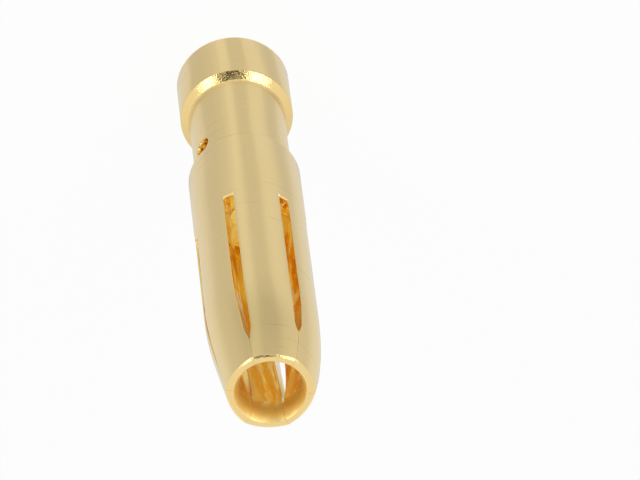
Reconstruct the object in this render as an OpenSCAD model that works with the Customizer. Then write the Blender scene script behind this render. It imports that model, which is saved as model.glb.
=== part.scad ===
// Crimp socket contact of a power connector: one turned piece, drilled at both ends.
// The rear end takes a stripped wire and is crimped on its neck. The front end is sawn into
// tines, which are bent in until they close on each other and grip a round pin.
// The contact stands on its rear face, with its axis along +Z and the mouth at the top.

/* [Overall] */
// Length from the rear face to the mouth
contact_length = 28.9; // [28:0.1:32]
// Diameter of the body between the neck and the tines
body_d = 5.7; // [5.66:0.02:6.2]

/* [Crimp end] */
// Diameter of the rear collar
collar_d = 5.8; // [5.5:0.02:6.4]
// Length of the collar, rear face to the edge of its shoulder
collar_length = 3.35; // [2.5:0.05:4]
// Chamfer on the collar's rear edge
collar_chamfer = 0.12; // [0.05:0.01:0.25]
// Diameter of the neck that is crimped
neck_d = 4.92; // [4.6:0.02:5]
// Radius of the fillet between the shoulder and the neck
neck_fillet = 0.35; // [0.2:0.05:0.5]
// Distance from the rear face to the edge of the body
body_start = 9.5; // [9.3:0.1:11]
// Angle of the cone from the neck up to the body
body_cone_angle = 30; // [28:1:45]

/* [Wire bore] */
// Diameter of the wire bore
wire_bore_d = 3.6; // [3:0.1:3.8]
// Depth of the wire bore's straight wall
wire_bore_depth = 9; // [8.6:0.1:9.4]
// Chamfer at the mouth of the wire bore
wire_bore_chamfer = 0.3; // [0.1:0.05:0.5]
// Diameter of the hole that shows that the wire is fully in
inspection_d = 1; // [0.8:0.05:1.2]
// Distance from the rear face to the centre of the inspection hole
inspection_z = 8.15; // [6.5:0.05:8.2]
// Direction of the inspection hole about the axis
inspection_angle = -39; // [-180:1:180]

/* [Socket bore] */
// Diameter of the socket bore behind the tines
socket_bore_d = 3.9; // [3.7:0.02:4.18]
// Depth of the socket bore's straight wall, from the mouth
socket_bore_depth = 16.2; // [15.6:0.1:16.6]
// Point angle of the drills
drill_point_angle = 118; // [100:1:140]

/* [Tines] */
// Number of tines
tine_count = 6; // [5:1:7]
// Outer diameter of the tines as turned, a little under the body
tine_d = 5.64; // [5.56:0.02:5.66]
// Inner diameter of the tines as bored, wider than the socket bore
tine_bore_d = 4.24; // [4.2:0.02:4.4]
// Width of the slots as sawn
slot_w = 0.55; // [0.44:0.01:0.58]
// Depth of the slots, from the mouth
slot_depth = 14.1; // [11:0.1:14.8]
// Direction of the first slot about the axis
slot_angle = 48; // [-180:1:180]
// Radius of the bend that closes the tines, on their outside
bend_radius = 33; // [25:1:45]

/* [Mouth] */
// Length over which the tines are closed on each other
closed_length = 0.9; // [0.6:0.1:1.6]
// Seam left between two closed tines
seam_w = 0.02; // [0.01:0.01:0.06]
// Diameter of the land that grips the pin, sized after closing
land_d = 3.36; // [3.3:0.02:3.6]
// Chamfer on the outer edge of the mouth
rim_chamfer = 0.09; // [0.04:0.01:0.12]
// Chamfer on the inner edge of the mouth, which leads the pin in
lead_in = 0.12; // [0.04:0.01:0.14]

/* [Hidden] */
gold = [0.86, 0.74, 0.46];
$fn = 96;
// Length by which a cut runs past the surface that it opens
past = 1;
// Length of a tine that is one with the wall of the body
tine_root = 0.5;
body_r = body_d / 2;
collar_r = collar_d / 2;
neck_r = neck_d / 2;
tine_r = tine_d / 2;
slot_root = contact_length - slot_depth;
cone_start = body_start - (body_r - neck_r) / tan(body_cone_angle);
// The shoulder is a 45 degree chamfer that runs into the fillet on the neck
shoulder_foot_r = neck_r + neck_fillet * (1 - cos(45));
shoulder_foot = collar_length + collar_r - shoulder_foot_r;
neck_start = shoulder_foot + neck_fillet * sin(45);
// Two tines meet when each has moved in by this much
tine_angle = 360 / tine_count;
closing = (slot_w - seam_w) / (2 * sin(tine_angle / 2));
// The tines run straight up to the bend, which goes on to the mouth
bend_to_closed = sqrt(closing * (2 * bend_radius - closing));
bend_to_mouth = bend_to_closed + closed_length;
straight_length = contact_length - bend_to_mouth - slot_root + tine_root;
mouth_closing = bend_radius - sqrt(bend_radius * bend_radius - bend_to_mouth * bend_to_mouth);

// Outline of the collar, shoulder, neck, cone and body, radius against height
module turned_outline() {
    difference() {
        polygon([
            [0, 0],
            [collar_r - collar_chamfer, 0],
            [collar_r, collar_chamfer],
            [collar_r, collar_length],
            [shoulder_foot_r, shoulder_foot],
            [neck_r + neck_fillet, neck_start],
            [neck_r, neck_start],
            [neck_r, cone_start],
            [body_r, body_start],
            [body_r, slot_root],
            [0, slot_root],
        ]);
        translate([neck_r + neck_fillet, neck_start]) circle(neck_fillet);
    }
}

// A drilled hole that runs up from z = 0, with its conical floor
module drilled_hole(d, depth) {
    point = d / 2 / tan(drill_point_angle / 2);
    rotate_extrude()
        polygon([[0, -past], [d / 2, -past], [d / 2, depth], [0, depth + point]]);
}

// Wire bore with the chamfer at its mouth
module wire_bore() {
    drilled_hole(wire_bore_d, wire_bore_depth);
    flare = wire_bore_chamfer + past;
    translate([0, 0, -past]) cylinder(d1 = wire_bore_d + 2 * flare, d2 = wire_bore_d, h = flare);
}

// Socket bore as drilled from the front
module socket_bore() {
    translate([0, 0, contact_length]) mirror([0, 0, 1]) drilled_hole(socket_bore_d, socket_bore_depth);
}

// Radial hole through one wall of the neck into the wire bore
module inspection_hole() {
    rotate(inspection_angle) translate([0, 0, inspection_z]) rotate([0, 90, 0])
        cylinder(d = inspection_d, h = collar_d);
}

// Wedge about the +X direction that leaves a gap to its neighbours on each side
module wedge(gap) {
    tip = gap / 2 / sin(tine_angle / 2);
    reach = body_d * [cos(tine_angle / 2), sin(tine_angle / 2)];
    polygon([[tip, 0], [tip + reach[0], -reach[1]], [tip + reach[0], reach[1]]]);
}

// Cross-section of one tine as sawn
module tine_section() {
    intersection() {
        difference() {
            circle(d = tine_d);
            circle(d = tine_bore_d);
        }
        wedge(slot_w);
    }
}

// Tine section swept along the bend, past the mouth
module bend() {
    axis_x = bend_radius - tine_r;
    sweep = asin((bend_to_mouth + past) / (axis_x + tine_bore_d / 4));
    translate([-axis_x, 0, 0]) rotate([90, 0, 0])
        rotate_extrude(angle = sweep) translate([axis_x, 0]) tine_section();
}

// Space that holds the bent part of a closed tine: its seams, its end face and its outer chamfer
module bend_limits() {
    intersection() {
        linear_extrude(bend_to_mouth) wedge(seam_w);
        translate([-mouth_closing, 0, 0]) rotate_extrude()
            polygon([
                [0, 0],
                [tine_r + bend_to_mouth - rim_chamfer, 0],
                [tine_r - rim_chamfer, bend_to_mouth],
                [0, bend_to_mouth],
            ]);
    }
}

// One tine about the +X direction: a straight length from its root, then the bend
module tine() {
    linear_extrude(straight_length) tine_section();
    translate([0, 0, straight_length]) intersection() {
        bend();
        bend_limits();
    }
}

// Land for the pin, with its lead-in at the mouth
module land_bore() {
    translate([0, 0, contact_length - bend_to_mouth])
        cylinder(d = land_d, h = bend_to_mouth + past);
    translate([0, 0, contact_length - lead_in])
        cylinder(d1 = land_d, d2 = land_d + 2 * (lead_in + past), h = lead_in + past);
}

module socket_contact() {
    color(gold) difference() {
        union() {
            difference() {
                rotate_extrude() turned_outline();
                wire_bore();
                socket_bore();
            }
            for (i = [0:tine_count - 1])
                translate([0, 0, slot_root - tine_root]) rotate(slot_angle + (i + 0.5) * tine_angle) tine();
        }
        inspection_hole();
        land_bore();
    }
}

socket_contact();
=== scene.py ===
"""Looks of the crimp socket contact.

A fine gold-plated mesh stands for the CAD solid, in a white studio with the photograph's camera.
"""

import math

import bmesh
import bpy
import numpy as np
from mathutils import Matrix, Vector


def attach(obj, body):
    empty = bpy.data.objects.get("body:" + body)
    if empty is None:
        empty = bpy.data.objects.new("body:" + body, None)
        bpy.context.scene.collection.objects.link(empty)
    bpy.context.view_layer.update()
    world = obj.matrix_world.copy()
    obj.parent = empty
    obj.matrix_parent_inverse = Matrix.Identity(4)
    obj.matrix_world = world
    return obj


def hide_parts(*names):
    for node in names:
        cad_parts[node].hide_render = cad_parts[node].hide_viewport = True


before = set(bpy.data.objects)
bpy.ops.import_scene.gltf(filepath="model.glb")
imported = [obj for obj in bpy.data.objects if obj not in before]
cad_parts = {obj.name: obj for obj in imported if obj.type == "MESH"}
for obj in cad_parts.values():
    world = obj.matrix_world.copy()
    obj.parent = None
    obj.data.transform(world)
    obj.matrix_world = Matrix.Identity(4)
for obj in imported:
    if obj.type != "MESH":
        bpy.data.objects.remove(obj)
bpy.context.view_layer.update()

MM = 0.001
NODE = "socket_contact"

# Sizes of the contact in millimetres, as in the CAD source
CONTACT_LENGTH = 28.9
BODY_R = 2.85
COLLAR_R = 2.9
COLLAR_LENGTH = 3.35
COLLAR_CHAMFER = 0.12
NECK_R = 2.46
NECK_FILLET = 0.35
BODY_START = 9.5
CONE_ANGLE = math.radians(30)
WIRE_BORE_R = 1.8
WIRE_BORE_DEPTH = 9.0
WIRE_BORE_CHAMFER = 0.3
HOLE_R = 0.5
HOLE_Z = 8.15
HOLE_ANGLE = math.radians(-39)
SOCKET_BORE_R = 1.95
SOCKET_BORE_DEPTH = 16.2
DRILL_HALF_ANGLE = math.radians(59)
TINE_COUNT = 6
TINE_R = 2.82
SLOT_W = 0.55
SLOT_DEPTH = 14.1
SLOT_ANGLE = math.radians(48)
BEND_RADIUS = 33.0
CLOSED_LENGTH = 0.9
SEAM_W = 0.02
RIM_CHAMFER = 0.09

# Sizes as they are seen, each smaller than in the CAD source: the tines' bore, the land and the closed seam
TINE_BORE_R = 1.96
LAND_SEEN_R = 1.495
SEAM_SEEN = 0.006

# Rounding of the edges: in general, inside the wire bore's chamfer, at the shoulder, and of a shut slot
EDGE = 0.03
BORE_EDGE = 0.05
SHOULDER_EDGE = 0.07
SEAM_EDGE = 0.01
# Growth of that last rounding with the width of an open slot
EDGE_PER_GAP = 1 / 8
# Share of a rounding's radius by which its middle lies in from each of the two faces
MID_ROUND = 0.29
# Width over which the land runs into the tines' bore
LAND_BLEND = 0.012
# Length below the slots over which the body narrows to the tines
TAPER_LENGTH = 1.2
# Chamfer at the root of a slot: its width and its height
ROOT_CHAMFER = 0.09
ROOT_RISE = 0.05

# Slots that the photograph shows: the height where each shuts, the length of its tip and how it narrows
SLOT_TIPS = {3: (26.75, 0.6, 0.5), 4: (27.55, 0.9, 0.8), 5: (28.4, 14.0, 0.8)}
# Share of the bend's closing that these slots follow
TIP_CLOSING = 0.6
# Height up to which the slots' walls show how they were sawn
SAWN_TO = 27.0
# Most that the tines are pushed to the photograph's right, and the factor that brings its curve's peak to 1
NOSE_PUSH = 0.08
PUSH_FACTOR = 27 / 4

# Outer chamfer of the mouth with its edges rounded: (distance below the mouth, cut in radius)
RIM_PROFILE = [
    (0.0, RIM_CHAMFER + 0.012),
    (0.004, RIM_CHAMFER - 0.001),
    (0.012, RIM_CHAMFER - 0.012),
    (RIM_CHAMFER - 0.012, 0.014),
    (RIM_CHAMFER + 0.004, 0.004),
    (RIM_CHAMFER + 0.03, 0.0),
]
# Wall of the lead-in: (distance below the mouth, tilt in degrees)
LEAD_TILT = [(0.0, 40), (0.12, 28), (0.5, 14), (1.1, 1)]
# Depths below the mouth down to which the rim and the end ring are formed
RIM_FORMED = RIM_CHAMFER + 0.005
RING_FORMED = 0.01

# Fineness of the mesh
TINE_COLS = 25
SLOT_STEPS = 8
CORNER_STEPS = 3
CORNER_GUESS = 0.85
CORNER_ROUNDS = 6
ARC_STEP = math.radians(16)
SMOOTH_BELOW = math.radians(34)
STRAIGHT_LEVELS = 10
BEND_STEP = 0.24
TIP_STEP = 0.05
TIPS_FROM = 26.1
TIPS_TO = 28.45
LEAD_STEPS = 24
LEAD_CROWDING = 1.7
HOLE_HALF_COLS = 11
HOLE_LOOPS = (0.55, 0.2, 0.0)
CHAMFER_SHARES = (0.1, 0.9, 1.0)
ROOT_SPACING = 0.003
SAME_PLACE = 1e-6
# Points across a tine's side, of which the first is the foot of the chamfer at the slot's root
SIDE_SHARES = ((ROOT_CHAMFER - EDGE) / (TINE_R - TINE_BORE_R - 2 * EDGE), 0.35, 0.68)

SECTOR = 2 * math.pi / TINE_COUNT
HALF = SECTOR / 2
SLOT_ROOT = CONTACT_LENGTH - SLOT_DEPTH
SOCKET_FLOOR = CONTACT_LENGTH - SOCKET_BORE_DEPTH
SHOULDER_FOOT = COLLAR_LENGTH + COLLAR_R - NECK_R
CONE_START = BODY_START - (BODY_R - NECK_R) / math.tan(CONE_ANGLE)
BEND_CENTRE = BEND_RADIUS - TINE_R
CLOSING = (SLOT_W - SEAM_W) / (2 * math.sin(HALF))
BEND_TO_MOUTH = math.sqrt(CLOSING * (2 * BEND_RADIUS - CLOSING)) + CLOSED_LENGTH
BEND_START = CONTACT_LENGTH - BEND_TO_MOUTH
HOLE_ROWS = [HOLE_Z + HOLE_R * f for f in (-1.5, -1.0, -0.5, 0.0, 0.5, 1.0, 1.5)]
HOLE_OUT = Vector((math.cos(HOLE_ANGLE), math.sin(HOLE_ANGLE), 0))
HOLE_ACROSS = Vector((-math.sin(HOLE_ANGLE), math.cos(HOLE_ANGLE), 0))


def shift_at(radius, z):
    """How far a tine's fibre at that radius has moved in at that height."""
    h = max(0.0, z - BEND_START)
    reach = BEND_CENTRE + radius
    return reach - math.sqrt(reach * reach - h * h)


def circle_from_axis(radius, shift, angle):
    """Distance from the axis, at that angle, of a circle whose centre has moved in by shift."""
    return math.sqrt(radius**2 - (shift * math.sin(angle)) ** 2) - shift * math.cos(angle)


def smooth_max(a, b, width):
    """The larger of two values, rounded where they cross."""
    t = max(width - abs(a - b), 0.0) / width
    return max(a, b) + t * t * width / 4


def lead_profile():
    """Lead-in as (distance below the mouth, cut in radius), from the tilt of its wall."""
    depths = [LEAD_TILT[-1][0] * (i / LEAD_STEPS) ** LEAD_CROWDING for i in range(LEAD_STEPS + 1)]
    tilt_depths, tilts = zip(*LEAD_TILT)
    profile = [(depths[-1], 0.0)]
    for near, far in zip(depths[-2::-1], depths[:0:-1]):
        tilt = np.interp((near + far) / 2, tilt_depths, tilts)
        profile.append((near, profile[-1][1] + (far - near) * math.tan(math.radians(tilt))))
    return profile[::-1]


LEAD_PROFILE = lead_profile()


def profile_at(profile, depth):
    """Cut in radius that a profile has at a distance below the mouth."""
    return float(np.interp(depth, [p[0] for p in profile], [p[1] for p in profile]))


def outer_at(angle, z):
    """Radius of a tine's outer face."""
    bent = circle_from_axis(TINE_R, shift_at(TINE_R, z), angle)
    return bent - profile_at(RIM_PROFILE, CONTACT_LENGTH - z)


def inner_at(angle, z):
    """Radius of a tine's inner face, where the land and the lead-in are cut into the bent bore."""
    bent = circle_from_axis(TINE_BORE_R, shift_at(TINE_BORE_R, z), angle)
    land = LAND_SEEN_R + profile_at(LEAD_PROFILE, CONTACT_LENGTH - z)
    return smooth_max(bent, land, LAND_BLEND)


def corner(z, gap, outside):
    """Rounded edge between a tine's side and its outer or inner face: its points and its end on that face."""
    edge = min(EDGE, SEAM_EDGE + gap * EDGE_PER_GAP)
    side = gap / 2 + edge
    normal = Vector((math.sin(HALF), -math.cos(HALF)))
    along = Vector((math.cos(HALF), math.sin(HALF)))
    # The face's radius depends on the angle, so the centre is found in a few rounds from a first guess
    angle = HALF * CORNER_GUESS
    for _ in range(CORNER_ROUNDS):
        radius = outer_at(angle, z) - edge if outside else inner_at(angle, z) + edge
        centre = normal * side + along * math.sqrt(radius**2 - side**2)
        angle = math.atan2(centre.y, centre.x)
    to_side = math.pi / 2 + HALF
    to_face = angle if outside else angle + math.pi
    turns = [to_face + (to_side - to_face) * i / CORNER_STEPS for i in range(CORNER_STEPS + 1)]
    points = [centre + edge * Vector((math.cos(a), math.sin(a))) for a in turns]
    return points, angle


def gap_at(slot, z):
    """Gap between two tines: it narrows with the bend, and three slots end in a tip of their own."""
    closing = 2 * shift_at((TINE_R + TINE_BORE_R) / 2, z) * math.sin(HALF)
    if slot not in SLOT_TIPS:
        return max(SLOT_W - closing, SEAM_SEEN)
    shut, length, bluntness = SLOT_TIPS[slot]
    share = min(max((shut - z) / length, 0.0), 1.0)
    return max((SLOT_W - TIP_CLOSING * closing) * share**bluntness, SEAM_SEEN)


def tine_loop(tine, z):
    """Section of one tine at a height: the outer arc, one side, the inner arc and the other side."""
    sides, outer_ends, inner_ends = [], [], []
    for slot, hand in ((tine, -1), ((tine + 1) % TINE_COUNT, 1)):
        gap = gap_at(slot, z)
        outer_corner, outer_end = corner(z, gap, True)
        inner_corner, inner_end = corner(z, gap, False)
        between = [outer_corner[-1].lerp(inner_corner[-1], share) for share in SIDE_SHARES]
        side = outer_corner[1:] + between + inner_corner[:0:-1]
        sides.append([Vector((p.x, hand * p.y)) for p in side])
        outer_ends.append(hand * outer_end)
        inner_ends.append(hand * inner_end)

    def arc(radius_at, ends):
        turns = np.linspace(*ends, TINE_COLS)
        return [Vector((math.cos(a), math.sin(a))) * radius_at(a, z) for a in turns]

    return arc(outer_at, outer_ends), sides[1], arc(inner_at, inner_ends), sides[0]


def sector_columns():
    """Angles of the columns from a tine's middle: those of its outer arc, then those across the next slot."""
    last = tine_loop(0, SLOT_ROOT)[0][-1]
    end = math.atan2(last.y, last.x)
    across = np.linspace(end, SECTOR - end, SLOT_STEPS + 1)[1:-1]
    return [*(np.linspace(-1, 1, TINE_COLS) * end), *across]


SECTOR_COLUMNS = sector_columns()
TINE_ANGLES = [SLOT_ANGLE + (i + 0.5) * SECTOR for i in range(TINE_COUNT)]
COLUMNS = [centre + angle for centre in TINE_ANGLES for angle in SECTOR_COLUMNS]


def add_object(name, data):
    """New object in the scene."""
    piece = bpy.data.objects.new(name, data)
    bpy.context.scene.collection.objects.link(piece)
    return piece


class ContactMesh:
    """Mesh of the contact as it is built. Each vertex says how its surface was made."""

    KINDS = ("inside", "formed", "sawn")

    def __init__(self):
        self.bm = bmesh.new()
        self.layers = {kind: self.bm.verts.layers.float.new(kind) for kind in self.KINDS}

    def vert(self, x, y, z, kind="inside"):
        """Vertex at a place in millimetres. A sawn surface counts as inside too."""
        v = self.bm.verts.new((x * MM, y * MM, z * MM))
        kinds = ("inside", "sawn") if kind == "sawn" else (kind,)
        for name, layer in self.layers.items():
            v[layer] = float(name in kinds)
        return v

    def face(self, *verts):
        self.bm.faces.new(verts)

    def ring(self, r, z, kind="inside"):
        """Ring about the axis with one vertex in each column."""
        return [self.vert(r * math.cos(a), r * math.sin(a), z, kind) for a in COLUMNS]

    def join(self, a, b, skip=()):
        """Band of faces between two closed loops, apart from the columns to skip."""
        for i in range(len(a)):
            if i not in skip:
                j = (i + 1) % len(a)
                self.face(a[i], a[j], b[j], b[i])

    def cone(self, ring, z):
        """Conical floor of a bore, from a ring to its tip."""
        tip = self.vert(0, 0, z)
        for i in range(len(ring)):
            self.face(ring[i], ring[(i + 1) % len(ring)], tip)

    def to_object(self, name):
        """Finished piece, smooth apart from its sharp edges."""
        bmesh.ops.recalc_face_normals(self.bm, faces=self.bm.faces)
        for face in self.bm.faces:
            face.smooth = True
        for edge in self.bm.edges:
            edge.smooth = len(edge.link_faces) == 2 and edge.calc_face_angle() < SMOOTH_BELOW
        data = bpy.data.meshes.new(name)
        self.bm.to_mesh(data)
        self.bm.free()
        piece = add_object(name, data)
        weighted = piece.modifiers.new("normals", "WEIGHTED_NORMAL")
        weighted.keep_sharp = True
        return piece


def rounded(corners):
    """Polyline of radius and height through corners of (radius, height, rounding)."""
    points = []
    for i, (r, z, rounding) in enumerate(corners):
        p = Vector((r, z))
        if not rounding:
            points.append(p)
            continue
        a = (Vector(corners[i - 1][:2]) - p).normalized()
        b = (Vector(corners[i + 1][:2]) - p).normalized()
        half = a.angle(b) / 2
        centre = p + (a + b).normalized() * (rounding / math.sin(half))
        start = p + a * (rounding / math.tan(half)) - centre
        stop = p + b * (rounding / math.tan(half)) - centre
        turn = start.angle(stop)
        steps = max(2, math.ceil((math.pi - 2 * half) / ARC_STEP))
        for k in range(steps + 1):
            near_start = math.sin(turn * (1 - k / steps))
            near_stop = math.sin(turn * k / steps)
            points.append(centre + (start * near_start + stop * near_stop) / math.sin(turn))
    return points


def turned_profile():
    """Outline from the floor of the wire bore, round the rear face, to the slots' root."""
    return rounded([
        (WIRE_BORE_R, WIRE_BORE_DEPTH, 0),
        *[(WIRE_BORE_R, z, 0) for z in reversed(HOLE_ROWS)],
        (WIRE_BORE_R, WIRE_BORE_CHAMFER, BORE_EDGE),
        (WIRE_BORE_R + WIRE_BORE_CHAMFER, 0, EDGE),
        (COLLAR_R - COLLAR_CHAMFER, 0, EDGE),
        (COLLAR_R, COLLAR_CHAMFER, EDGE),
        (COLLAR_R, COLLAR_LENGTH, SHOULDER_EDGE),
        (NECK_R, SHOULDER_FOOT, NECK_FILLET),
        *[(NECK_R, z, 0) for z in HOLE_ROWS],
        (NECK_R, CONE_START, EDGE),
        (BODY_R, BODY_START, EDGE),
        (BODY_R, SLOT_ROOT - TAPER_LENGTH, 0),
        (TINE_R, SLOT_ROOT - ROOT_RISE, 0),
    ])


def turned_kind(p):
    """How the surface at a point of the turned outline was made: the shoulder is formed."""
    bore_to = WIRE_BORE_R + 0.05
    shoulder_from, shoulder_to = NECK_R + 0.004, COLLAR_R - 0.002
    lowest, highest = COLLAR_LENGTH - 0.05, SHOULDER_FOOT + NECK_FILLET
    if p.x < bore_to:
        return "inside"
    on_shoulder = shoulder_from < p.x < shoulder_to and lowest < p.y < highest
    return "formed" if on_shoulder else "turned"


def row_at(profile, r, z):
    """Index of the outline's point at that radius and height."""
    for i, p in enumerate(profile):
        if abs(p.x - r) < SAME_PLACE and abs(p.y - z) < SAME_PLACE:
            return i
    raise ValueError("the outline has no point at radius %s and height %s" % (r, z))


def hole_columns():
    """Columns that the inspection hole takes up."""
    def from_hole(i):
        return abs(math.remainder(COLUMNS[i] - HOLE_ANGLE, 2 * math.pi))

    middle = min(range(len(COLUMNS)), key=from_hole)
    return [(middle + k) % len(COLUMNS) for k in range(-HOLE_HALF_COLS, HOLE_HALF_COLS)]


def build_turned(mesh):
    """Turned outside, wire bore and inspection hole. Gives the ring below the slots' root."""
    profile = turned_profile()
    rings = [mesh.ring(p.x, p.y, turned_kind(p)) for p in profile]
    inner_rows = [row_at(profile, WIRE_BORE_R, z) for z in HOLE_ROWS]
    outer_rows = [row_at(profile, NECK_R, z) for z in HOLE_ROWS]
    block = hole_columns()
    for i in range(len(rings) - 1):
        pierced = any(min(rows) <= i < max(rows) for rows in (inner_rows, outer_rows))
        mesh.join(rings[i], rings[i + 1], block if pierced else ())
    mesh.cone(rings[0], WIRE_BORE_DEPTH + WIRE_BORE_R / math.tan(DRILL_HALF_ANGLE))
    build_hole(mesh, block_border(rings, outer_rows, block), block_border(rings, inner_rows, block))
    return rings[-1]


def block_border(rings, rows, block):
    """Vertices once round the block of columns and rows that the hole takes up."""
    columns = block + [(block[-1] + 1) % len(COLUMNS)]
    around = [(c, rows[0]) for c in columns]
    around += [(columns[-1], r) for r in rows[1:]]
    around += [(c, rows[-1]) for c in reversed(columns[:-1])]
    around += [(columns[0], r) for r in reversed(rows[1:-1])]
    return [rings[r][c] for c, r in around]


def on_wall(mesh, wall_r, across, z, kind="inside"):
    """Vertex on a wall of that radius, at a distance across from the inspection hole's axis."""
    p = HOLE_OUT * math.sqrt(wall_r**2 - across * across) + HOLE_ACROSS * across
    return mesh.vert(p.x, p.y, z, kind)


def hole_patch(mesh, border, wall_r, kind):
    """Loops on a wall from the block's border in to the hole's rim, and the angle of each of their points."""
    flat = [((v.co / MM).dot(HOLE_ACROSS), v.co.z / MM - HOLE_Z) for v in border]
    turns = [math.atan2(b, a) for a, b in flat]
    rim = HOLE_R + EDGE
    loops = [border]
    for share in HOLE_LOOPS:
        loop = []
        for (a, b), turn in zip(flat, turns):
            x = a * share + rim * math.cos(turn) * (1 - share)
            y = b * share + rim * math.sin(turn) * (1 - share)
            loop.append(on_wall(mesh, wall_r, x, HOLE_Z + y, kind))
        loops.append(loop)
    return loops, turns


def build_hole(mesh, outer_border, inner_border):
    """Inspection hole: a patch in each of the two walls, and the hole's own wall between them."""
    outer_loops, turns = hole_patch(mesh, outer_border, NECK_R, "turned")
    inner_loops, _ = hole_patch(mesh, inner_border, WIRE_BORE_R, "inside")
    middle = EDGE * MID_ROUND
    steps = [
        (HOLE_R + middle, NECK_R - middle),
        (HOLE_R, NECK_R - EDGE),
        (HOLE_R, WIRE_BORE_R + EDGE),
        (HOLE_R + middle, WIRE_BORE_R + middle),
    ]
    wall = []
    for r, wall_r in steps:
        wall.append([on_wall(mesh, wall_r, r * math.cos(t), HOLE_Z + r * math.sin(t)) for t in turns])
    chain = outer_loops + wall + inner_loops[::-1]
    for a, b in zip(chain, chain[1:]):
        mesh.join(a, b)


def build_socket_bore(mesh):
    """Socket bore behind the tines, with its floor. Gives its ring at the slots' root."""
    root_ring = mesh.ring(SOCKET_BORE_R, SLOT_ROOT)
    floor_ring = mesh.ring(SOCKET_BORE_R, SOCKET_FLOOR)
    mesh.join(root_ring, floor_ring)
    mesh.cone(floor_ring, SOCKET_FLOOR - SOCKET_BORE_R / math.tan(DRILL_HALF_ANGLE))
    return root_ring


def tine_levels():
    """Heights of the tines' sections, which lie closest at the slots' tips and at the mouth."""
    levels = list(np.linspace(SLOT_ROOT, BEND_START, STRAIGHT_LEVELS)[:-1])
    levels += list(np.arange(BEND_START, TIPS_FROM, BEND_STEP))
    levels += list(np.arange(TIPS_FROM, TIPS_TO, TIP_STEP))
    levels += [CONTACT_LENGTH - depth for depth, _ in RIM_PROFILE + LEAD_PROFILE]
    return sorted({round(float(z), 4) for z in levels})


def tine_vert(mesh, tine, p, z, kind):
    """Vertex of a tine's section, turned to the tine's place and pushed to the side."""
    c, s = math.cos(TINE_ANGLES[tine]), math.sin(TINE_ANGLES[tine])
    share = max(z - BEND_START, 0) / BEND_TO_MOUTH
    push = NOSE_PUSH * share**2 * (1 - share) * PUSH_FACTOR
    return mesh.vert(p.x * c - p.y * s - push, p.x * s + p.y * c, z, kind)


def tine_section(mesh, tine, z):
    """Vertices of a tine's section at a height, in the four parts that tine_loop gives."""
    depth = CONTACT_LENGTH - z
    outer_kind = "formed" if depth < RIM_FORMED else "turned"
    inner_kind = "formed" if depth < RING_FORMED else "inside"
    side_kind = "sawn" if z < SAWN_TO else "inside"
    kinds = (outer_kind, side_kind, inner_kind, side_kind)
    section = []
    for part, kind in zip(tine_loop(tine, z), kinds):
        section.append([tine_vert(mesh, tine, p, z, kind) for p in part])
    return section


def once_round(section):
    """One closed loop of a section's four parts."""
    outer, side, inner, other = section
    return outer + side + inner[::-1] + other[::-1]


def build_tine(mesh, tine, levels):
    """One tine, closed at the mouth. Gives its section at the root."""
    stack = [tine_section(mesh, tine, z) for z in levels]
    for a, b in zip(stack, stack[1:]):
        mesh.join(once_round(a), once_round(b))
    outer, side, inner, other = stack[-1]
    for i in range(TINE_COLS - 1):
        mesh.face(outer[i], outer[i + 1], inner[i + 1], inner[i])
    mesh.face(outer[-1], *side, inner[-1])
    mesh.face(outer[0], *other, inner[0])
    return stack[0]


def slot_root_columns(mesh, outer_ring, inner_ring, left, right, first):
    """Columns of a slot's floor from the outside in to the bore, across from one tine's side to the next."""
    columns = []
    for k in range(SLOT_STEPS + 1):
        i = (first + k) % len(COLUMNS)
        if k in (0, SLOT_STEPS):
            end = left if k == 0 else right
            foot = end[CORNER_STEPS + 1]
            mesh.face(outer_ring[i], *end[:CORNER_STEPS + 2])
            inward = [foot] * CORNER_STEPS + end[CORNER_STEPS + 1:]
            columns.append([outer_ring[i], outer_ring[i], foot, foot] + inward + [inner_ring[i]])
            continue
        column = [outer_ring[i]]
        for share in CHAMFER_SHARES:
            r = TINE_R - ROOT_CHAMFER * share
            z = SLOT_ROOT - ROOT_RISE * (1 - share)
            column.append(mesh.vert(r * math.cos(COLUMNS[i]), r * math.sin(COLUMNS[i]), z, "turned"))
        for j, (a, b) in enumerate(list(zip(left, right))[1:]):
            p = a.co.lerp(b.co, k / SLOT_STEPS) / MM
            flat = Vector((p.x, p.y))
            flat *= min(1.0, (TINE_R - ROOT_CHAMFER - ROOT_SPACING * (j + 1)) / flat.length)
            column.append(mesh.vert(flat.x, flat.y, SLOT_ROOT, "sawn"))
        columns.append(column + [inner_ring[i]])
    return columns


def build_roots(mesh, outer_ring, inner_ring, roots):
    """Root of the tines and slots: the outside runs on into the tines and is chamfered into the slots."""
    for t in range(TINE_COUNT):
        outer, side, inner, _ = roots[t]
        next_outer, _, next_inner, next_side = roots[(t + 1) % TINE_COUNT]
        first = t * len(SECTOR_COLUMNS)
        for i in range(TINE_COLS - 1):
            a, b = first + i, first + i + 1
            mesh.face(outer_ring[a], outer_ring[b], outer[i + 1], outer[i])
            mesh.face(inner_ring[a], inner_ring[b], inner[i + 1], inner[i])
        left = [outer[-1], *side, inner[-1]]
        right = [next_outer[0], *next_side, next_inner[0]]
        columns = slot_root_columns(mesh, outer_ring, inner_ring, left, right, first + TINE_COLS - 1)
        for a, b in zip(columns, columns[1:]):
            for i in range(len(a) - 1):
                # Columns share vertices at the sides, where a face has three corners or none is left
                corners = list(dict.fromkeys((a[i], a[i + 1], b[i + 1], b[i])))
                if len(corners) > 2:
                    mesh.face(*corners)


def build_contact():
    """The whole contact as one closed mesh."""
    mesh = ContactMesh()
    outer_ring = build_turned(mesh)
    inner_ring = build_socket_bore(mesh)
    levels = tine_levels()
    roots = [build_tine(mesh, tine, levels) for tine in range(TINE_COUNT)]
    build_roots(mesh, outer_ring, inner_ring, roots)
    return mesh.to_object("contact")


def new_material(name):
    """New material and its node tree."""
    mat = bpy.data.materials.new(name)
    mat.use_nodes = True
    return mat, mat.node_tree


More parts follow.
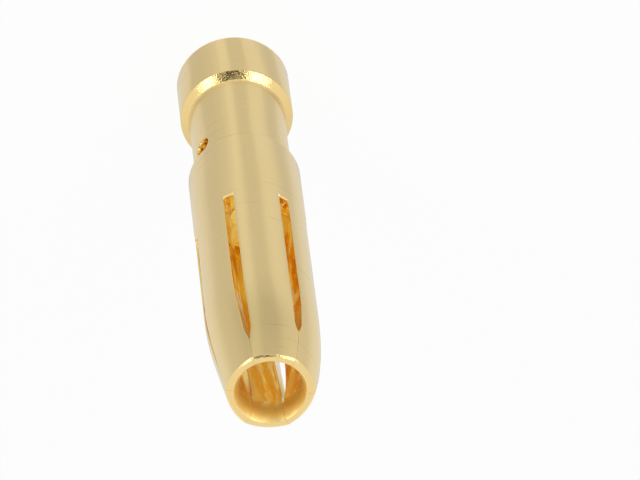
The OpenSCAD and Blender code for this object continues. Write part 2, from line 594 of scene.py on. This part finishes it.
def add(tree, kind, inputs=None, **settings):
    """New node with its settings and the values of its inputs."""
    node = tree.nodes.new(kind)
    for name, value in settings.items():
        setattr(node, name, value)
    for name, value in (inputs or {}).items():
        node.inputs[name].default_value = value
    return node


def attribute(tree, name):
    """Value that the mesh holds at each point under that name."""
    return add(tree, "ShaderNodeAttribute", attribute_name=name).outputs["Fac"]


def mix(tree, kind, factor, first, second):
    """Mix node of colours (RGBA) or numbers (FLOAT); each end is a socket to link or a plain value."""
    node = add(tree, "ShaderNodeMix", data_type=kind)
    wanted = "RGBA" if kind == "RGBA" else "VALUE"
    tree.links.new(factor, next(i for i in node.inputs if i.name == "Factor" and i.type == "VALUE"))
    ends = [i for i in node.inputs if i.type == wanted and i.name in "AB"]
    for end, value in zip(ends, (first, second)):
        if isinstance(value, bpy.types.NodeSocket):
            tree.links.new(value, end)
        else:
            end.default_value = value
    return next(o for o in node.outputs if o.type == wanted)


def noise(tree, place, scale, detail):
    """Noise over the object's own coordinates, with a scale for each axis."""
    mapping = add(tree, "ShaderNodeMapping", {"Scale": scale})
    tree.links.new(place, mapping.inputs["Vector"])
    node = add(tree, "ShaderNodeTexNoise", {"Scale": 1.0, "Detail": detail})
    tree.links.new(mapping.outputs["Vector"], node.inputs["Vector"])
    return node.outputs["Fac"]


def spread(tree, value, low, high, start=0.3, stop=0.7):
    """Value from low to high as another goes from start to stop."""
    limits = {"From Min": start, "From Max": stop, "To Min": low, "To Max": high}
    node = add(tree, "ShaderNodeMapRange", limits)
    tree.links.new(value, node.inputs["Value"])
    return node.outputs["Result"]


def larger(tree, a, b):
    """The larger of two values."""
    node = add(tree, "ShaderNodeMath", operation="MAXIMUM")
    tree.links.new(a, node.inputs[0])
    tree.links.new(b, node.inputs[1])
    return node.outputs[0]


def times(tree, value, factor):
    """Value times a plain number."""
    node = add(tree, "ShaderNodeMath", operation="MULTIPLY")
    tree.links.new(value, node.inputs[0])
    node.inputs[1].default_value = factor
    return node.outputs[0]


def any_ray(tree, path, names):
    """One where the ray is of any of the named kinds."""
    total = path.outputs[names[0]]
    for name in names[1:]:
        total = larger(tree, total, path.outputs[name])
    return total


# Tones of the gold plating, two of which are painted light
SATIN_TONE = (0.95, 0.735, 0.348, 1)
MARK_TONE = (0.86, 0.655, 0.3, 1)
FORMED_TONE = (0.965, 0.718, 0.31, 1)
BORE_TONE = (0.97, 0.785, 0.33, 1)
# Painted light: the land's and the lip's tones stand for the light that comes in at the mouth, deep orange on
# the land and paler at the lip
LAND_PAINTED_LIGHT_TONE = (1.0, 0.725, 0.215, 1)
LIP_PAINTED_LIGHT_TONE = (1.0, 0.76, 0.31, 1)
SAWN_TONE = (0.99, 0.785, 0.3, 1)
# Values of the noise between which the satin outside goes over to a darker mark
MARK_NOISE = (0.645, 0.76)
# Heights in metres over which the bore becomes the land, the land becomes the lip (where the tone is painted
# light) and the sawn walls roughen
LAND_RISE = (0.0275, 0.0283)
LIP_RISE = (0.0283, 0.0288)
SAWN_RISE = (0.0235, 0.0255)
# Roughness, from its least to its most
SATIN_ROUGH = (0.15, 0.22)
FORMED_ROUGH = (0.1, 0.26)
BORE_ROUGH = (0.15, 0.24)
SAWN_ROUGH = (0.16, 0.42)
LAND_ROUGH = 0.52
# Height of the bump, from its least to its most, in units of BUMP_UNIT metres
LATHE_BUMP = (0, 0.1)
PIT_BUMP = (0, 0.55)
WAVE_BUMP = (0, 3)
SAW_BUMP = (0, 7)
BUMP_UNIT = 0.00002
BUMP_STRENGTH = 0.5


def gold_material():
    """Gold plating, with a finish for each way that a surface was made.

    It is satin where it was turned, bright and pitted where it was formed, deep in colour with long waves in
    the bores, rough on the land and uneven on the sawn walls.
    """
    mat, tree = new_material("gold_plating")
    link = tree.links.new
    bsdf = tree.nodes["Principled BSDF"]
    bsdf.inputs["Metallic"].default_value = 1.0
    inside = attribute(tree, "inside")
    formed = attribute(tree, "formed")
    sawn = attribute(tree, "sawn")
    place = add(tree, "ShaderNodeTexCoord").outputs["Object"]
    axes = add(tree, "ShaderNodeSeparateXYZ")
    link(place, axes.inputs[0])
    z = axes.outputs["Z"]
    land = spread(tree, z, 0.0, 1.0, *LAND_RISE)
    lip = spread(tree, z, 0.0, 1.0, *LIP_RISE)

    # The land's and the lip's tones paint the light that comes in at the mouth: deep orange on the land,
    # paler at the lip
    bore_tone_and_painted_light = mix(tree, "RGBA", land, BORE_TONE, LAND_PAINTED_LIGHT_TONE)
    bore_tone_and_painted_light = mix(tree, "RGBA", lip, bore_tone_and_painted_light, LIP_PAINTED_LIGHT_TONE)
    bore_tone_and_painted_light = mix(tree, "RGBA", sawn, bore_tone_and_painted_light, SAWN_TONE)
    marks = spread(tree, noise(tree, place, (300, 300, 4500), 2), 0.0, 1.0, *MARK_NOISE)
    satin = mix(tree, "RGBA", marks, SATIN_TONE, MARK_TONE)
    tone = mix(tree, "RGBA", inside, satin, bore_tone_and_painted_light)
    tone = mix(tree, "RGBA", formed, tone, FORMED_TONE)
    link(tone, bsdf.inputs["Base Color"])

    cloud = noise(tree, place, (500, 500, 500), 4)
    grain = noise(tree, place, (2600, 2600, 1300), 3)
    bore_rough = mix(tree, "FLOAT", land, spread(tree, cloud, *BORE_ROUGH), LAND_ROUGH)
    sawn_rough = spread(tree, z, *SAWN_ROUGH, *SAWN_RISE)
    bore_rough = mix(tree, "FLOAT", sawn, bore_rough, sawn_rough)
    rough = mix(tree, "FLOAT", inside, spread(tree, cloud, *SATIN_ROUGH), bore_rough)
    rough = mix(tree, "FLOAT", formed, rough, spread(tree, grain, *FORMED_ROUGH))
    link(rough, bsdf.inputs["Roughness"])

    lathe = noise(tree, place, (300, 300, 22000), 3)
    pits = noise(tree, place, (10000, 10000, 10000), 1)
    waves = noise(tree, place, (1300, 1300, 300), 2)
    saw = noise(tree, place, (1500, 1500, 700), 0)
    cut = mix(tree, "FLOAT", sawn, spread(tree, waves, *WAVE_BUMP), spread(tree, saw, *SAW_BUMP))
    height = mix(tree, "FLOAT", inside, spread(tree, lathe, *LATHE_BUMP), cut)
    height = mix(tree, "FLOAT", formed, height, spread(tree, pits, *PIT_BUMP))
    bump = add(tree, "ShaderNodeBump", {"Strength": BUMP_STRENGTH, "Distance": BUMP_UNIT})
    link(height, bump.inputs["Height"])
    link(bump.outputs["Normal"], bsdf.inputs["Normal"])
    return mat


# Floor: half its width and its height in metres, a little below the rear face, its tone, and how white it is
# to the eye, where the rest is its own shading
FLOOR_HALF = 1.5
FLOOR_LEVEL = -0.00002
FLOOR_TONE = (0.9, 0.9, 0.9, 1)
FLOOR_WHITE = 0.94

# Pale fan round the foot that only the metal sees: where it starts, in millimetres from the axis and above
# the rear face. Each blade starts at the contact's side, at an angle in degrees from the photograph's
# direction, and runs out the way that side mirrors the eye: (angle, level).
FAN_FOOT_R = 2.95
FAN_FOOT_Z = 0.02
FAN_BLADES = [
    (-90, 0.75), (-54, 0.745), (-44, 0.615), (-34, 0.615), (-24, 0.65), (-15, 0.70),
    (-9, 0.79), (-4, 0.79), (1, 0.655), (13, 0.655), (18, 0.77), (26, 0.78),
    (38, 0.66), (43, 0.615), (50, 0.625), (58, 0.735), (90, 0.755),
]
# Its level also changes with the distance: (distance in millimetres, share in front, share at the sides)
FAN_FADE = [
    (0, 1.0, 1.0), (15, 0.99, 1.02), (19, 0.93, 1.04), (25, 0.77, 1.06),
    (32, 0.81, 1.08), (38, 0.86, 1.1), (90, 1.0, 1.0),
]
# Angles in degrees between which the front goes over to the sides
FAN_SIDES = (22, 36)

# Point that the lamps and the flag face, and their distances from it, in metres
TARGET = Vector((0, 0, 0.014))
LAMP_AWAY = 0.4
FLAG_AWAY = 0.3
# Lamps: name, turn from the photograph's side and rise above the floor in degrees, width in metres
LAMPS = [("key_right", 44.5, 27, 0.275), ("key_left", -39.5, 27, 0.207)]
LAMP_HEIGHT = 0.2
LAMP_RADIANCE = 2.3
# Dark flag below the line of sight: its lower and upper edge in degrees above the floor, and its level at
# turns from the photograph's side, in degrees
FLAG_RISES = (16, 48)
FLAG_LEVELS = [
    (-31, 0.85), (-24, 0.3), (-17, 0.08), (0, 0.04), (10, 0.06), (18, 0.15), (26, 0.4), (34, 0.9),
]

# World: its strength as light and to the eye, and how far from the one to the other the metal sees it
WORLD_LIGHT = 0.6
WORLD_SEEN = 1.0
WORLD_MIRRORED = 0.7


def add_stage(name, points, faces, mat, levels=None):
    """Piece of the stage through points in metres, with a level at each point where levels are given."""
    data = bpy.data.meshes.new(name)
    data.from_pydata(points, [], faces)
    if levels:
        data.attributes.new("level", "FLOAT", "POINT").data.foreach_set("value", levels)
    data.materials.append(mat)
    piece = add_object(name, data)
    return piece


def only_mirrored(piece):
    """Leaves a piece of the stage to be seen in the metal alone."""
    piece.visible_camera = False
    piece.visible_diffuse = False
    piece.visible_shadow = False
    piece.visible_transmission = False


def glow_material(name):
    """Emission at the level that the mesh holds at each point."""
    mat, tree = new_material(name)
    tree.nodes.remove(tree.nodes["Principled BSDF"])
    glow = add(tree, "ShaderNodeEmission")
    tree.links.new(attribute(tree, "level"), glow.inputs["Color"])
    tree.links.new(glow.outputs[0], tree.nodes["Material Output"].inputs["Surface"])
    return mat


def floor_material():
    """White to the eye, with a share of its own shading left in so that the shadow stays."""
    mat, tree = new_material("white_floor")
    link = tree.links.new
    tree.nodes.remove(tree.nodes["Principled BSDF"])
    path = add(tree, "ShaderNodeLightPath")
    diffuse = add(tree, "ShaderNodeBsdfDiffuse", {"Color": FLOOR_TONE})
    white = add(tree, "ShaderNodeEmission")
    both = add(tree, "ShaderNodeMixShader")
    seen = any_ray(tree, path, ["Is Camera Ray", "Is Glossy Ray", "Is Transmission Ray"])
    link(times(tree, seen, FLOOR_WHITE), both.inputs["Fac"])
    link(diffuse.outputs[0], both.inputs[1])
    link(white.outputs[0], both.inputs[2])
    link(both.outputs[0], tree.nodes["Material Output"].inputs["Surface"])
    return mat


def build_floor():
    """White floor that the contact stands on."""
    signs = ((-1, -1), (1, -1), (1, 1), (-1, 1))
    corners = [(x * FLOOR_HALF, y * FLOOR_HALF, FLOOR_LEVEL) for x, y in signs]
    add_stage("floor", corners, [(0, 1, 2, 3)], floor_material())


def direction(turn, rise=0.0):
    """Unit vector from the contact: turn from the photograph's side to its right, rise above the floor."""
    return Vector((-math.sin(turn) * math.cos(rise), -math.cos(turn) * math.cos(rise), math.sin(rise)))


def build_fan():
    """Pale fan round the contact's foot."""
    points, levels, faces = [], [], []
    for angle, level in FAN_BLADES:
        a = math.radians(angle)
        beside = float(np.interp(abs(angle), FAN_SIDES, (0, 1)))
        for far, front, side in FAN_FADE:
            place = direction(a) * FAN_FOOT_R + direction(2 * a) * far + Vector((0, 0, FAN_FOOT_Z))
            points.append(place * MM)
            levels.append(level * (front + (side - front) * beside))
    rows = len(FAN_FADE)
    for i in range(len(FAN_BLADES) - 1):
        for j in range(rows - 1):
            k = i * rows + j
            faces.append((k, k + 1, k + rows + 1, k + rows))
    only_mirrored(add_stage("fan", points, faces, glow_material("fan_levels"), levels))


def build_flag():
    """Dark flag below the line of sight, soft at its sides, that only the metal sees."""
    points, levels = [], []
    for turn, level in FLAG_LEVELS:
        for rise in FLAG_RISES:
            points.append(TARGET + FLAG_AWAY * direction(math.radians(turn), math.radians(rise)))
            levels.append(level)
    faces = [(2 * i, 2 * i + 1, 2 * i + 3, 2 * i + 2) for i in range(len(FLAG_LEVELS) - 1)]
    only_mirrored(add_stage("flag", points, faces, glow_material("flag_levels"), levels))


def build_lamp(name, turn, rise, width):
    """Softbox that faces the contact."""
    data = bpy.data.lights.new(name, "AREA")
    data.shape = "RECTANGLE"
    data.size = width
    data.size_y = LAMP_HEIGHT
    data.energy = LAMP_RADIANCE * math.pi * width * LAMP_HEIGHT
    away = direction(math.radians(turn), math.radians(rise))
    lamp = add_object(name, data)
    lamp.location = TARGET + away * LAMP_AWAY
    lamp.rotation_euler = away.to_track_quat("Z", "Y").to_euler()


def build_world():
    """White surroundings: plain light on the contact, white to the eye and a little less in the metal."""
    world = bpy.data.worlds.new("studio")
    world.use_nodes = True
    tree = world.node_tree
    back = tree.nodes["Background"]
    back.inputs["Color"].default_value = (1, 1, 1, 1)
    path = add(tree, "ShaderNodeLightPath")
    seen = any_ray(tree, path, ["Is Camera Ray", "Is Transmission Ray"])
    mirrored = times(tree, path.outputs["Is Glossy Ray"], WORLD_MIRRORED)
    share = larger(tree, seen, mirrored)
    strength = spread(tree, share, WORLD_LIGHT, WORLD_SEEN, 0.0, 1.0)
    tree.links.new(strength, back.inputs["Strength"])
    bpy.context.scene.world = world


def build_stage():
    """White studio round the contact."""
    build_floor()
    build_fan()
    build_flag()
    for lamp in LAMPS:
        build_lamp(*lamp)
    build_world()


# The photograph's frame and, in its pixels, the focal length, the centre of the rear face and the scale there
PHOTO_W = 640
PHOTO_H = 480
FOCAL_PX = 8000.0
REAR_X = 232.6
REAR_Y = 84.1
PX_PER_MM = 19.286
# Angle between the axis and the line of sight, and turn of the axis in the picture
CAMERA_LEAN = math.radians(32.79)
CAMERA_ROLL = math.radians(7.74)
SENSOR_W = 36.0
CLIP_START = 0.01
CLIP_END = 10


def build_camera():
    """The photograph's view: the axis leans to the eye, with the mouth at the bottom of the picture."""
    to_eye = Vector((0, -math.sin(CAMERA_LEAN), math.cos(CAMERA_LEAN)))
    down_axis = Vector((0, math.cos(CAMERA_LEAN), math.sin(CAMERA_LEAN)))
    side = Vector((-1, 0, 0))
    right = side * math.cos(CAMERA_ROLL) + down_axis * math.sin(CAMERA_ROLL)
    up = side * math.sin(CAMERA_ROLL) - down_axis * math.cos(CAMERA_ROLL)
    eye_px = to_eye * FOCAL_PX - right * (REAR_X - PHOTO_W / 2) + up * (REAR_Y - PHOTO_H / 2)
    eye = eye_px / PX_PER_MM * MM
    data = bpy.data.cameras.new("camera")
    data.sensor_width = SENSOR_W
    data.lens = SENSOR_W * FOCAL_PX / PHOTO_W
    data.clip_start = CLIP_START
    data.clip_end = CLIP_END
    cam = add_object("camera", data)
    cam.matrix_world = Matrix((
        (right.x, up.x, to_eye.x, eye.x),
        (right.y, up.y, to_eye.y, eye.y),
        (right.z, up.z, to_eye.z, eye.z),
        (0, 0, 0, 1),
    ))
    bpy.context.scene.camera = cam


contact = build_contact()
contact.data.materials.append(gold_material())
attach(contact, "root")
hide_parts(NODE)
build_stage()
build_camera()
bpy.context.scene.view_settings.view_transform = "Standard"
bpy.context.scene.cycles.max_bounces = 16
bpy.context.scene.cycles.glossy_bounces = 14
